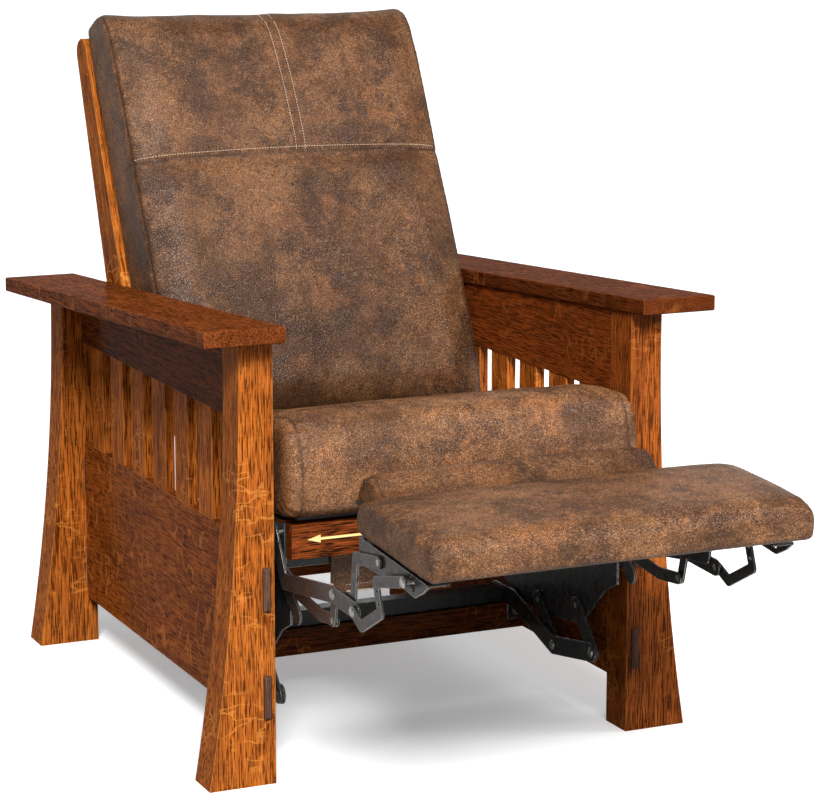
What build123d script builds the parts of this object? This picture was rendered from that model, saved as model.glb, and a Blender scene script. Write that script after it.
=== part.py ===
"""Mission reclining armchair: an oak frame with slatted sides, and a seat, back and footrest
that ride on a pair of steel linkages between the sides.

Lengths are millimetres and angles are degrees. Y runs from the footrest to the back, Z is up,
and X crosses the chair, with +X on the right of somebody who looks at its front. While it is
modelled, Y is zero at the front faces of the front legs. Every piece is moved by one distance at
the end, so that the finished chair has its origin under the middle of its bounding box.
"""

import os
from math import atan2, cos, degrees, hypot, pi, radians, sin, sqrt, tan

from build123d import *

# Legs, arms and sides of the oak frame
clear_width = 540.6            # between the inner faces of the left and right legs
leg_width = 48.2               # of a leg above its flare
foot_width = 96.2              # of a leg at the floor
flare_drop = 65.0              # from the top of the arm to where the outer edge curves outwards
leg_depth = 57.5
rear_leg_front = 772.5         # front face of the rear legs
arm_height = 635.0             # top of the arm at its front end
arm_width = 113.6
arm_thickness = 22.2
arm_front_overhang = 40.2
arm_rear_overhang = 39.1
arm_inner_overhang = 3.7
arm_fall_share = 0.056         # fall of the arm for each unit of its length
arm_edge_radius = 2.5
panel_thickness = 15.8
panel_bottom = 72.9
slat_count = 7
slat_length = 160.3
slat_width = 54.2
slat_thickness = 14.2
top_rail_drop = 147.7          # of the lower edge of the top rail below the top of the arm
key_width = 10.6
key_height = 60.0
key_reach = 7.0                # of the through tenon beyond the face of its leg
key_chamfer = 2.6
key_inset = 6.9                # from the inner face of the leg to the key
lower_key_bottom = 93.5
upper_key_bottom = 243.5
middle_rail_front = 328.0
rear_rail_setback = 22.5       # of the rear rail before the rear legs
cross_rail_depth = 20.0
cross_rail_height = 40.0

# Steel base of the mechanism, bolted on the middle cross rail
plate = 3.0                    # thickness of every steel plate and link
layer = 4.0                    # from one layer of plates to the next
base_plate_gap = 30.3          # from the innermost layer of plates to the inner face of the legs
square_tube = 25.0
tube_wall = 2.0
tube_setback = 7.5             # from the front of the middle rail to the tube
base_plate_width = 28.0
swing_arm_width = 26.0
swing_arm_reach_y = 56.0       # of a swing arm at rest, from its lower to its upper pin
swing_arm_reach_z = 56.0
front_swing_y = 52.0           # lower pin of the front swing arm
front_swing_z = 108.0
rear_swing_y = 172.0           # lower pin of the rear swing arm
rear_swing_z = 88.0
ear_width = 26.0
ear_height = 30.0
ear_drop = 24.0                # of the mounting ear below the top of the cross rail

# Pins, rivets and bolts
pin_radius = 4.0
pin_play = 0.05                # radial clearance of a pin in a link that turns on it
open_pin_play = 1.4            # the same at the pin that closes the control link's loop
open_pin_run_y = -5.0          # of that pin along its slotted hole
open_pin_run_z = -6.7
rivet_head_radius = 7.5
rivet_head_height = 1.8
rivet_rim_share = 0.72         # radius of the worn top of a rivet head
rivet_sides = 16               # hammered flats around the rim of a rivet head
bolt_radius = 3.5
bolt_grip = 14.0               # length of a bolt in the wood
bolt_head_across = 12.7
bolt_head_height = 5.0
seat_gap = 0.3                 # between pieces that rest against each other

# Footrest linkage at rest: the places of its pins in the side view, with the heights counted
# from the underside of the seat cushion at its front
crown_pin_y = 20.5             # rear link on the carriage plate
crown_pin_drop = 27.3
knee_y = -180.3                # rear link to front link
knee_drop = 64.1
tail_y = -253.4                # tail of the rear link to the control link
tail_drop = 68.0
bracket_pin_y = -314.8         # front link to the footrest bracket
bracket_pin_rise = 8.8
control_pin_y = -406.6         # control link to the footrest bracket
control_pin_rise = 7.2
lower_link_shift_y = 10.0      # of the lower link from the rear link
lower_link_shift_z = -38.0
rear_link_width = 23.0
rear_link_dip_y = -34.0        # of the crank of the rear link, from the crown pin
rear_link_dip_z = -60.0
lower_link_width = 17.0
lower_link_dip_y = -74.0       # of the first crank of the lower link, from its rear pin
lower_link_dip_z = -33.0
lower_link_toe_y = 52.0        # of its second crank, from its front pin
lower_link_toe_z = -5.0
lower_link_lug_y = -70.0       # of the stop lug of the lower link, from its rear pin
lower_link_lug_z = -64.0
lower_link_lug_width = 25.0
front_link_width = 16.0
front_link_heel_y = -57.0      # of the first crank of the front link, from the knee
front_link_heel_z = 6.0
front_link_crown_y = -65.0
front_link_crown_z = 63.0
control_link_width = 15.0
control_link_heel_y = -28.0    # of the first crank of the control link, from the tail pin
control_link_heel_z = -12.0
control_link_toe_y = -86.0
control_link_toe_z = 19.0
control_link_crown_y = -72.0
control_link_crown_z = 56.0
spare_hole_radius = 2.6
spare_hole_shares = (0.3, 0.7) # places of the spare holes along the upper crank

# Footrest pad with its board and brackets
footrest_front = -487.0
footrest_rear = -265.0
footrest_side_gap = 7.3        # from the footrest's pad to the inner face of the legs
footrest_thickness = 52.0
footrest_crown = 3.5
footrest_roll = 22.0           # radius of its front and side edges
footrest_rise = 35.0           # of its underside at the rear edge above that of the seat
footrest_fall_share = 0.072
footrest_board_thickness = 9.0
footrest_board_inset = 12.0
footrest_bracket_depth = 29.0
footrest_flange = 27.0
footrest_bracket_rear = -250.0
footrest_bracket_front = -452.0

# Middle flap behind the footrest pad
flap_rod_y = -260.0
flap_rod_rise = 27.0           # above the underside of the seat
flap_rod_radius = 4.0
flap_eye_radius = 6.5
flap_strap_width = 18.0
flap_strap_thickness = 2.5
flap_strap_spread = 150.0      # from the middle of the chair to each strap
flap_inset = 58.0              # of the flap from each end of the footrest's pad
flap_rear = -105.0
flap_front = -245.0
flap_board_thickness = 6.0
flap_board_lift = 6.0          # of the flap board above the rod
flap_front_thickness = 33.0
flap_rear_thickness = 46.0
flap_crown = 3.0
flap_roll = 12.0

# Carriage between the linkages, with the seat box
carriage_front = -9.0
carriage_overhang = 25.0       # behind the hinge of the back
carriage_bottom = 122.0
carriage_top_drop = 15.0       # below the underside of the seat, as the next heights are
front_rail_front = -8.0
front_rail_depth = 27.0
front_rail_drop = 14.0
front_rail_height = 48.0
front_rail_edge_radius = 2.0
front_tube_front = 52.0
front_tube_drop = 88.0
rear_tube_setback = 39.0       # behind the seat cushion
rear_tube_drop = 137.0
carriage_tube = 20.0
seat_tilt = 8.0                # rear edge lower than the front
seat_front = -45.0
seat_length = 476.0
seat_side_gap = 8.3            # from the seat cushion to the inner face of the legs
seat_underside = 373.0         # height of the underside of the cushion at its front
seat_front_thickness = 150.0
seat_rear_thickness = 112.0
seat_crown = 3.0
seat_roll = 34.0
seat_side_draw = 4.0
seat_rail_thickness = 19.0
seat_rail_height = 42.0
strap_width = 50.0
strap_thickness = 1.6
long_strap_count = 4
cross_strap_count = 4
valance_inset = 80.0           # of the valance from the carriage plate
valance_thickness = 1.8
valance_drop = 129.0
valance_corner = 14.0
arrow_tip = -226.0             # across the chair, from its middle
arrow_length = 92.0
arrow_head_length = 19.0
arrow_head_width = 11.0
arrow_shaft_width = 3.4
arrow_thickness = 1.6
arrow_drop = 35.0

# Back with its two posts and slats
hinge_setback = 129.0          # behind the seat cushion
hinge_drop = 43.0              # below the underside of the seat
back_lean = 24.0               # of the front edge of the posts from upright
post_thickness = 19.0
post_front = 33.4              # of the front edge of a post before the hinge
post_bottom = 24.0             # along the post, from the hinge
post_top = 682.0
post_width_low = 74.0
post_width_top = 44.0
post_taper_start = 250.0
post_top_radius = 19.0
back_slat_count = 5
back_slat_width = 62.0
back_slat_thickness = 14.0
lowest_slat = 128.0
back_bracket_length = 96.0
back_bracket_width = 34.0
back_screw_shares = (0.2, 0.7)
back_cushion_bottom = 22.0     # along the post, from the hinge
back_cushion_top = 700.0
back_cushion_side_gap = 11.3   # from the back cushion to the inner face of the legs
back_cushion_low_thickness = 121.0
back_cushion_top_thickness = 102.0
back_cushion_crown = 12.0
back_cushion_roll = 30.0
back_side_draw = 3.0
back_seam = 435.0              # of the seam across the back, along the post from the hinge
back_seam_depth = 3.0
back_seam_half_width = 9.0
back_heel_length = 45.0        # over which the cushion thins out towards its lower end
back_heel_share = 0.75

# Outline of the carriage plate, in shares of its length from the front and of its height
carriage_outline_shares = [
    (0.0, 0.43), (0.0, 0.59), (0.035, 0.75), (0.035, 1.0), (0.775, 0.735), (0.839, 0.735),
    (0.930, 0.945), (0.983, 0.945), (1.0, 0.80), (0.893, 0.39), (0.528, 0.05), (0.389, 0.0),
    (0.174, 0.075), (0.056, 0.36),
]

# Lower edge of the footrest bracket, in shares of its length and of its depth
bracket_edge_shares = [(0.0, 0.72), (0.09, 1.15), (0.42, 1.0), (0.62, 0.85), (0.82, 0.92), (0.93, 0.5)]

# Places along the rounded end of a cushion, in shares of its edge radius
edge_shares = [0.0, 0.2, 1.0]
corner_share = 0.8             # radius of the long edges, against that of the ends
corner_limit_share = 0.9       # the most of the half thickness that they take
swell_share = 0.12             # swell of the sides and the face, against the corners
cushion_bays = 4               # between the rounded ends

# Layers of steel, counted outwards on each side of the chair
leg_inner = clear_width / 2
base_plate_inner = leg_inner - base_plate_gap
base_layer, swing_layer, carriage_layer, inner_layer, front_layer, rear_layer, control_layer = (
    base_plate_inner + layer * step for step in range(7)
)

# Places that follow from the sizes
arm_front = -arm_front_overhang
arm_rear = rear_leg_front + leg_depth + arm_rear_overhang
arm_inner = leg_inner - arm_inner_overhang
seat_half_width = leg_inner - seat_side_gap
back_cushion_half_width = leg_inner - back_cushion_side_gap
footrest_half_width = leg_inner - footrest_side_gap
flap_half_width = footrest_half_width - flap_inset
valance_half_width = carriage_layer - valance_inset
middle_of_chair = (footrest_front + arm_rear) / 2
cross_rail_top = panel_bottom + cross_rail_height
flare_height = arm_height - flare_drop
top_rail_bottom = arm_height - top_rail_drop
panel_top = top_rail_bottom - slat_length
rear_rail_front = rear_leg_front - rear_rail_setback
seat_rear = seat_front + seat_length
hinge_y = seat_rear + hinge_setback
hinge_z = seat_underside - hinge_drop
carriage_rear = hinge_y + carriage_overhang
carriage_top = seat_underside - carriage_top_drop
front_rail_top = seat_underside - front_rail_drop
front_rail_bottom = front_rail_top - front_rail_height
front_tube_height = seat_underside - front_tube_drop
rear_tube_height = seat_underside - rear_tube_drop
rear_tube_front = seat_rear + rear_tube_setback
valance_bottom = seat_underside - valance_drop
arrow_height = seat_underside - arrow_drop
footrest_underside = seat_underside + footrest_rise
flap_rod_z = seat_underside + flap_rod_rise
crown_pin_z = seat_underside - crown_pin_drop
knee_z = seat_underside - knee_drop
tail_z = seat_underside - tail_drop
bracket_pin_z = seat_underside + bracket_pin_rise
control_pin_z = seat_underside + control_pin_rise
overrun = arm_width
crown_pin = (crown_pin_y, crown_pin_z)
lower_link_pin = (crown_pin_y + lower_link_shift_y, crown_pin_z + lower_link_shift_z)
knee = (knee_y, knee_z)
lower_knee = (knee_y + lower_link_shift_y, knee_z + lower_link_shift_z)
tail = (tail_y, tail_z)
bracket_pin = (bracket_pin_y, bracket_pin_z)
control_pin = (control_pin_y, control_pin_z)
hinge = (hinge_y, hinge_z)


def side_view(*points):
    """Side-view points (y, z) as vertices of a closed outline on the middle plane."""
    return make_face(Polyline(*[(0, y, z) for y, z in points], close=True))


def across(face, start, depth):
    """The face of a side view drawn out across the chair, from start over depth."""
    return Pos(start, 0, 0) * extrude(face, amount=depth, dir=(1, 0, 0))


def block(x_start, x_end, y_start, y_end, z_start, z_end):
    """A square block between three pairs of faces."""
    middle = ((x_start + x_end) / 2, (y_start + y_end) / 2, (z_start + z_end) / 2)
    return Pos(*middle) * Box(x_end - x_start, y_end - y_start, z_end - z_start)


def both(solid):
    """A piece of the right side with its mirror image on the left."""
    return [solid, mirror(solid, about=Plane.YZ)]


def pin(start, end, place, radius=pin_radius):
    """A straight pin across the chair at the place (y, z) of the side view."""
    y, z = place
    return Pos((start + end) / 2, y, z) * Rot(0, 90, 0) * Cylinder(radius, end - start)


def domed_head(start, place, height=rivet_head_height, radius=rivet_head_radius):
    """A rivet head on the outer face of a plate, with a worn-down rim."""
    rim = Plane.YZ * RegularPolygon(radius, rivet_sides)
    worn = Plane.YZ.offset(height) * RegularPolygon(radius * rivet_rim_share, rivet_sides)
    return Pos(start, *place) * loft([rim, worn], ruled=True)


def inner_head(start, place):
    """A rivet head on the inner face of a plate."""
    return mirror(domed_head(-start, place), about=Plane.YZ)


def link(start, width, route, holes):
    """A flat link: a strip with round ends along a cranked route, with pin holes."""
    outline = Sketch()
    for (y0, z0), (y1, z1) in zip(route, route[1:]):
        stretch = SlotCenterToCenter(hypot(y1 - y0, z1 - z0), width)
        turn = degrees(atan2(z1 - z0, y1 - y0))
        outline += Pos((y0 + y1) / 2, (z0 + z1) / 2) * Rot(0, 0, turn) * stretch
    for (y, z), radius in holes:
        outline -= Pos(y, z) * Circle(radius)
    return extrude(Plane.YZ.offset(start) * outline, amount=plate)


def hex_bolt(x, y, z):
    """A bolt along Y: its head stands before y and its shank runs back into the wood."""
    outline = RegularPolygon(bolt_head_across / sqrt(3), 6)
    head = extrude(Plane.XZ * outline, amount=bolt_head_height)
    shank = Rot(90, 0, 0) * Cylinder(bolt_radius, bolt_grip)
    return Pos(x, y, z) * (head + Pos(0, bolt_grip / 2, 0) * shank)


def arm_underside(y):
    """Height of the underside of an arm at y."""
    return arm_height - arm_thickness - (y - arm_front) * arm_fall_share


def above_arms():
    """Everything above the undersides of the arms, for trimming what meets them."""
    top = arm_height + overrun
    outline = side_view(
        (arm_front, arm_underside(arm_front)), (arm_rear, arm_underside(arm_rear)),
        (arm_rear, top), (arm_front, top),
    )
    return across(outline, 0, leg_inner + foot_width)


def leg(front):
    """A leg with a straight inner edge and an outer edge that flares in one arc to the foot."""
    inner = leg_inner
    outer = leg_inner + leg_width
    foot = leg_inner + foot_width
    top = arm_height
    edges = Polyline((foot, front, 0), (inner, front, 0), (inner, front, top), (outer, front, top),
                     (outer, front, flare_height))
    flare = TangentArc((outer, front, flare_height), (foot, front, 0), tangent=(0, 0, -1))
    body = extrude(make_face(edges.edges() + flare.edges()), amount=leg_depth, dir=(0, 1, 0))
    return body - above_arms()


def key_places():
    """The lower and upper edge of each through tenon."""
    return [(bottom, bottom + key_height) for bottom in (lower_key_bottom, upper_key_bottom)]


def through_key(face_y, outward, bottom, top):
    """A through tenon in its leg, with a chamfered end outside the face at face_y."""
    start = leg_inner + key_inset
    end_y = face_y + outward * key_reach
    back_y = face_y - outward * leg_depth
    bar = block(start, start + key_width, min(end_y, back_y), max(end_y, back_y), bottom, top)
    end_face = bar.faces().sort_by(Axis.Y)[0 if outward < 0 else -1]
    return chamfer(end_face.edges(), key_chamfer)


def arm():
    """A flat arm with eased upper and lower edges, which falls towards the back."""
    fall = (arm_rear - arm_front) * arm_fall_share
    outline = side_view(
        (arm_front, arm_height - arm_thickness), (arm_front, arm_height),
        (arm_rear, arm_height - fall), (arm_rear, arm_height - fall - arm_thickness),
    )
    board = across(outline, arm_inner, arm_width)
    return fillet(board.edges().filter_by(Axis.Z, reverse=True), arm_edge_radius)


def side_slats():
    """The flat upright slats between the panel and the top rail."""
    start = leg_inner + (panel_thickness - slat_thickness) / 2
    run = rear_leg_front - leg_depth
    gap = (run - slat_count * slat_width) / (slat_count + 1)
    slats = []
    for index in range(slat_count):
        y = leg_depth + gap + index * (slat_width + gap)
        slats.append(block(start, start + slat_thickness, y, y + slat_width, panel_top,
                           top_rail_bottom))
    return slats


def make_frame():
    """The oak frame: legs, arms, sides, keys and cross rails."""
    rear_face = rear_leg_front + leg_depth
    front_keys = [through_key(0, -1, low, high) for low, high in key_places()]
    rear_keys = [through_key(rear_face, 1, low, high) for low, high in key_places()]
    front_leg = leg(0)
    rear_leg = leg(rear_leg_front)
    for key in front_keys:
        front_leg -= key
    for key in rear_keys:
        rear_leg -= key
    panel = block(leg_inner, leg_inner + panel_thickness, leg_depth, rear_leg_front, panel_bottom,
                  panel_top)
    rail = block(leg_inner, leg_inner + panel_thickness, leg_depth, rear_leg_front,
                 top_rail_bottom, arm_height) - above_arms()
    for name, piece in (("front_leg", front_leg), ("rear_leg", rear_leg), ("arm", arm()),
                        ("side_panel", panel), ("top_rail", rail)):
        right, left = both(piece)
        write(name + "_right", [right])
        write(name + "_left", [left])
    slats = side_slats()
    write("side_slats_right", slats)
    write("side_slats_left", [mirror(slat, about=Plane.YZ) for slat in slats])
    write("tenon_keys", [side for key in front_keys + rear_keys for side in both(key)])
    for name, front in (("middle_cross_rail", middle_rail_front), ("rear_cross_rail", rear_rail_front)):
        rail = block(-leg_inner, leg_inner, front, front + cross_rail_depth, panel_bottom,
                     cross_rail_top)
        if front == middle_rail_front:
            for place_x in ear_bolt_places():
                rail -= Pos(place_x, front, ear_bolt_height()) * bolt_bore()
        write(name, [rail])


def bolt_bore():
    """The bore of a bolt's shank, behind the face that its head clamps."""
    return Pos(0, bolt_grip / 2, 0) * Rot(90, 0, 0) * Cylinder(bolt_radius, bolt_grip)


def ear_bolt_places():
    """Where the mounting bolts stand across the chair."""
    middle = base_layer + plate + ear_width / 2
    return (-middle, middle)


def ear_bolt_height():
    """Height of the mounting bolts."""
    return cross_rail_top - ear_drop / 2


def tube_across(half_length, front, bottom, size):
    """A square steel tube across the chair, open at its ends."""
    outer = block(-half_length, half_length, front, front + size, bottom, bottom + size)
    bore = block(-half_length, half_length, front + tube_wall, front + size - tube_wall,
                 bottom + tube_wall, bottom + size - tube_wall)
    return outer - bore


def swing_pins():
    """Lower and upper pin of the front and of the rear swing arm."""
    arms = []
    for y, z in ((front_swing_y, front_swing_z), (rear_swing_y, rear_swing_z)):
        arms.append(((y, z), (y + swing_arm_reach_y, z + swing_arm_reach_z)))
    return arms


def make_base():
    """Base plates, cross tube, mounting ears and bolts, and the pins of the swing arms."""
    lower = [low for low, high in swing_pins()]
    rail_height = cross_rail_top + base_plate_width / 2 + seat_gap
    route = lower + [(middle_rail_front - base_plate_width, rail_height),
                     (middle_rail_front + tube_setback + square_tube, rail_height)]
    base = link(base_layer, base_plate_width, route, [(place, pin_radius) for place in lower])
    write("base_plates", both(base))
    tube_front = middle_rail_front + tube_setback
    write("base_cross_tube", [tube_across(base_layer, tube_front, cross_rail_top, square_tube)])
    ears = []
    bolts = []
    ear_front = middle_rail_front - plate
    for x in ear_bolt_places():
        bottom = cross_rail_top - ear_drop
        ear = block(x - ear_width / 2, x + ear_width / 2, ear_front, middle_rail_front, bottom,
                    bottom + ear_height)
        ears.append(ear - Pos(x, ear_front, ear_bolt_height()) * bolt_bore())
        bolts.append(hex_bolt(x, ear_front, ear_bolt_height()))
    write("mounting_ears", ears)
    write("mounting_bolts", bolts)
    studs = []
    for place in lower:
        studs += both(pin(base_layer, swing_layer + plate, place) + inner_head(base_layer, place))
    write("swing_arm_studs", studs)


def make_swing_arms():
    """The two pairs of arms on which the carriage swings forward as the back goes down."""
    for name, (low, high) in zip(("front_swing_arms", "rear_swing_arms"), swing_pins()):
        holes = [(place, pin_radius + pin_play) for place in (low, high)]
        write(name, both(link(swing_layer, swing_arm_width, [low, high], holes)))


def seat_height(y, depth=0):
    """Height of the plane under the seat cushion at y, or of one that lies deeper."""
    return seat_underside - (y - seat_front) * tan(radians(seat_tilt)) - depth


def seat_box_rails():
    """The two wooden side rails and the rear rail under the webbing."""
    front = front_rail_front + front_rail_depth
    rear = seat_rear - seat_roll
    top = 2 * strap_thickness
    outline = side_view(
        (front, seat_height(front, top + seat_rail_height)), (front, seat_height(front, top)),
        (rear, seat_height(rear, top)), (rear, seat_height(rear, top + seat_rail_height)),
    )
    start = carriage_layer - seat_rail_thickness
    rear_end = rear - seat_rail_thickness
    cross = side_view(
        (rear_end, seat_height(rear_end, top + seat_rail_height)),
        (rear_end, seat_height(rear_end, top)), (rear, seat_height(rear, top)),
        (rear, seat_height(rear, top + seat_rail_height)),
    )
    return both(across(outline, start, seat_rail_thickness)), across(cross, -start, 2 * start)


def seat_straps():
    """Webbing straps in two layers, stapled on the seat box under the cushion."""
    front = front_rail_front + front_rail_depth
    rear = seat_rear - seat_roll
    half = carriage_layer
    straps = []
    for index in range(long_strap_count):
        middle = (index + 0.5) / long_strap_count * 2 * half - half
        outline = side_view(
            (front, seat_height(front, 2 * strap_thickness)), (front, seat_height(front, strap_thickness)),
            (rear, seat_height(rear, strap_thickness)), (rear, seat_height(rear, 2 * strap_thickness)),
        )
        straps.append(across(outline, middle - strap_width / 2, strap_width))
    step = (rear - front) / cross_strap_count
    for index in range(cross_strap_count):
        start = front + (index + 0.5) * step - strap_width / 2
        end = start + strap_width
        outline = side_view(
            (start, seat_height(start, strap_thickness)), (start, seat_height(start)),
            (end, seat_height(end)), (end, seat_height(end, strap_thickness)),
        )
        straps.append(across(outline, -half, 2 * half))
    return straps


def valance():
    """The skirt that hangs from the front tube, with its lower corners cut off."""
    sheet = block(-valance_half_width, valance_half_width, front_tube_front - valance_thickness,
                  front_tube_front, valance_bottom, front_tube_height + carriage_tube)
    corners = [edge for edge in sheet.edges().filter_by(Axis.Y) if edge.center().Z < front_tube_height]
    return chamfer(corners, valance_corner)


def arrow():
    """A flat brass arrow on the front rail."""
    neck = arrow_tip + arrow_head_length
    end = arrow_tip + arrow_length
    half_head = arrow_head_width / 2
    half_shaft = arrow_shaft_width / 2
    points = [(arrow_tip, 0), (neck, half_head), (neck, half_shaft), (end, half_shaft),
              (end, -half_shaft), (neck, -half_shaft), (neck, -half_head)]
    outline = make_face(Polyline(*[(x, front_rail_front, arrow_height + z) for x, z in points],
                                 close=True))
    return extrude(outline, amount=arrow_thickness, dir=(0, -1, 0))


def make_carriage():
    """Carriage plates, tubes and pins, and the seat with its rails, webbing and skirt."""
    length = carriage_rear - carriage_front
    height = carriage_top - carriage_bottom
    points = [(carriage_front + along * length, carriage_bottom + up * height)
              for along, up in carriage_outline_shares]
    side = across(side_view(*points), carriage_layer, plate)
    upper = [high for low, high in swing_pins()]
    for place in upper + [crown_pin, lower_link_pin, hinge]:
        side -= pin(carriage_layer, carriage_layer + plate, place)
    right, left = both(side)
    write("carriage_plate_right", [right])
    write("carriage_plate_left", [left])
    tubes = []
    for front, bottom in ((front_tube_front, front_tube_height), (rear_tube_front, rear_tube_height)):
        tubes.append(tube_across(carriage_layer, front, bottom, carriage_tube))
    write("carriage_cross_tubes", tubes)
    pins = [pin(swing_layer, carriage_layer + plate, place) for place in upper]
    pins.append(pin(carriage_layer, rear_layer + plate, crown_pin)
                + domed_head(rear_layer + plate, crown_pin))
    pins.append(pin(carriage_layer, inner_layer + plate, lower_link_pin))
    pins.append(pin(base_layer, carriage_layer + plate, hinge)
                + domed_head(carriage_layer + plate, hinge))
    write("carriage_pins", [side for piece in pins for side in both(piece)])
    rail = block(-carriage_layer, carriage_layer, front_rail_front,
                 front_rail_front + front_rail_depth, front_rail_bottom, front_rail_top)
    write("seat_front_rail", [fillet(rail.edges().filter_by(Axis.X), front_rail_edge_radius)])
    side_rails, rear_rail = seat_box_rails()
    write("seat_side_rails", side_rails)
    write("seat_rear_rail", [rear_rail])
    write("direction_arrow", [arrow()])
    write("seat_valance", [valance()])
    write("seat_webbing", seat_straps())
    cushion = puffed(seat_length, seat_half_width, seat_front_thickness, seat_rear_thickness,
                     seat_crown, seat_roll, seat_side_draw)
    write("seat_cushion", [Pos(0, seat_front, seat_underside + seat_gap) * Rot(-seat_tilt, 0, 0) * cushion])


def rounded_inset(roll, y):
    """How far the faces draw in at y from the end of a cushion whose edges have this radius."""
    return roll - sqrt(roll ** 2 - (roll - y) ** 2)


def puffed(length, half_width, thick_start, thick_end, crown, roll, draw, seam=None, heel=None):
    """A cushion along Y from zero, flat below, crowned above, with rounded edges.

    Its thickness changes evenly from start to end, and its sides pull in between the corners.
    A seam across it is a place along the cushion with the depth and half width of its groove,
    and a heel is a length at its start with the share of the thickness that is left there.
    """
    ends = [(share * roll, rounded_inset(roll, share * roll)) for share in edge_shares]
    bay = (length - 2 * roll) / cushion_bays
    stations = [(y, inset, 0) for y, inset in ends]
    stations += [(roll + bay * index, 0, 0) for index in range(1, cushion_bays)]
    stations += [(length - y, inset, 0) for y, inset in reversed(ends)]
    if seam:
        place, depth, half_groove = seam
        stations = [row for row in stations if abs(row[0] - place) > 2 * half_groove]
        stations += [(place - half_groove, 0, 0), (place, 0, depth), (place + half_groove, 0, 0)]
    heel_length, heel_share = heel or (0, 1)
    if heel:
        stations.append((heel_length, 0, 0))
    faces = []
    for y, inset, groove in sorted(stations):
        thick = thick_start + (thick_end - thick_start) * y / length
        if y < heel_length:
            thick *= heel_share + (1 - heel_share) * y / heel_length
        along = sin(pi * y / length)
        faces.append(cushion_rim(y, half_width - inset - draw * along, inset, thick - inset - groove,
                                 crown * along, roll, draw * along))
    return loft(faces, ruled=True)


def cushion_rim(y, half_width, low, high, crown, roll, draw):
    """The section of a cushion at y: a crowned face with round corners."""
    a = half_width
    middle = (low + high) / 2
    r = min(roll * corner_share, (high - low) / 2 * corner_limit_share)
    c = r * (1 - sqrt(1 / 2))
    side = a + draw / 2 + c * swell_share
    top = high + crown + c * swell_share
    rim = [
        Line((r - a, y, low), (a - r, y, low)),
        ThreePointArc((a - r, y, low), (a - c, y, low + c), (a, y, low + r)),
        ThreePointArc((a, y, low + r), (side, y, middle), (a, y, high - r)),
        ThreePointArc((a, y, high - r), (a - c, y, high - c), (a - r, y, high)),
        ThreePointArc((a - r, y, high), (0, y, top), (r - a, y, high)),
        ThreePointArc((r - a, y, high), (c - a, y, high - c), (-a, y, high - r)),
        ThreePointArc((-a, y, high - r), (-side, y, middle), (-a, y, low + r)),
        ThreePointArc((-a, y, low + r), (c - a, y, low + c), (r - a, y, low)),
    ]
    return make_face([edge for piece in rim for edge in piece.edges()])


def make_footrest_links():
    """The four pairs of links that lift the footrest from under the seat."""
    fit = pin_radius + pin_play
    dip = (crown_pin_y + rear_link_dip_y, crown_pin_z + rear_link_dip_z)
    rear = link(rear_layer, rear_link_width, [crown_pin, dip, knee, tail],
                [(crown_pin, fit), (knee, pin_radius), (tail, pin_radius)])
    write("rear_links", both(rear))
    knee_pin = pin(front_layer, rear_layer + plate, knee) + domed_head(rear_layer + plate, knee)
    tail_pin = pin(rear_layer, control_layer + plate, tail) + domed_head(control_layer + plate, tail)
    write("rear_link_pins", both(knee_pin) + both(tail_pin))
    first = (lower_link_pin[0] + lower_link_dip_y, lower_link_pin[1] + lower_link_dip_z)
    second = (lower_knee[0] + lower_link_toe_y, lower_knee[1] + lower_link_toe_z)
    lower = link(inner_layer, lower_link_width, [lower_link_pin, first, second, lower_knee],
                 [(lower_link_pin, fit), (lower_knee, fit)])
    lug = (lower_link_pin[0] + lower_link_lug_y, lower_link_pin[1] + lower_link_lug_z)
    lower += link(inner_layer, lower_link_lug_width, [lower_link_pin, lug], [(lower_link_pin, fit)])
    write("lower_links", both(lower))
    heel = (knee_y + front_link_heel_y, knee_z + front_link_heel_z)
    crown = (knee_y + front_link_crown_y, knee_z + front_link_crown_z)
    front = link(front_layer, front_link_width, [lower_knee, knee, heel, crown, bracket_pin],
                 [(lower_knee, pin_radius), (knee, fit), (bracket_pin, pin_radius)])
    write("front_links", both(front))
    front_pins = [pin(inner_layer, front_layer + plate, place) for place in (lower_knee, bracket_pin)]
    write("front_link_pins", [side for piece in front_pins for side in both(piece)])
    heel = (tail_y + control_link_heel_y, tail_z + control_link_heel_z)
    toe = (tail_y + control_link_toe_y, tail_z + control_link_toe_z)
    crown = (tail_y + control_link_crown_y, tail_z + control_link_crown_z)
    holes = [(tail, fit), (control_pin, pin_radius)]
    for share in spare_hole_shares:
        holes.append(((toe[0] + (crown[0] - toe[0]) * share, toe[1] + (crown[1] - toe[1]) * share),
                      spare_hole_radius))
    control = link(control_layer, control_link_width, [tail, heel, toe, crown, control_pin], holes)
    write("control_links", both(control))
    control_stud = pin(inner_layer, control_layer + plate, control_pin)
    write("control_link_pins", both(control_stud + domed_head(control_layer + plate, control_pin)))


def footrest_height(y, depth=0):
    """Height of the plane under the footrest pad at y, or of one that lies deeper."""
    return footrest_underside + (y - footrest_rear) * footrest_fall_share - depth


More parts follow.
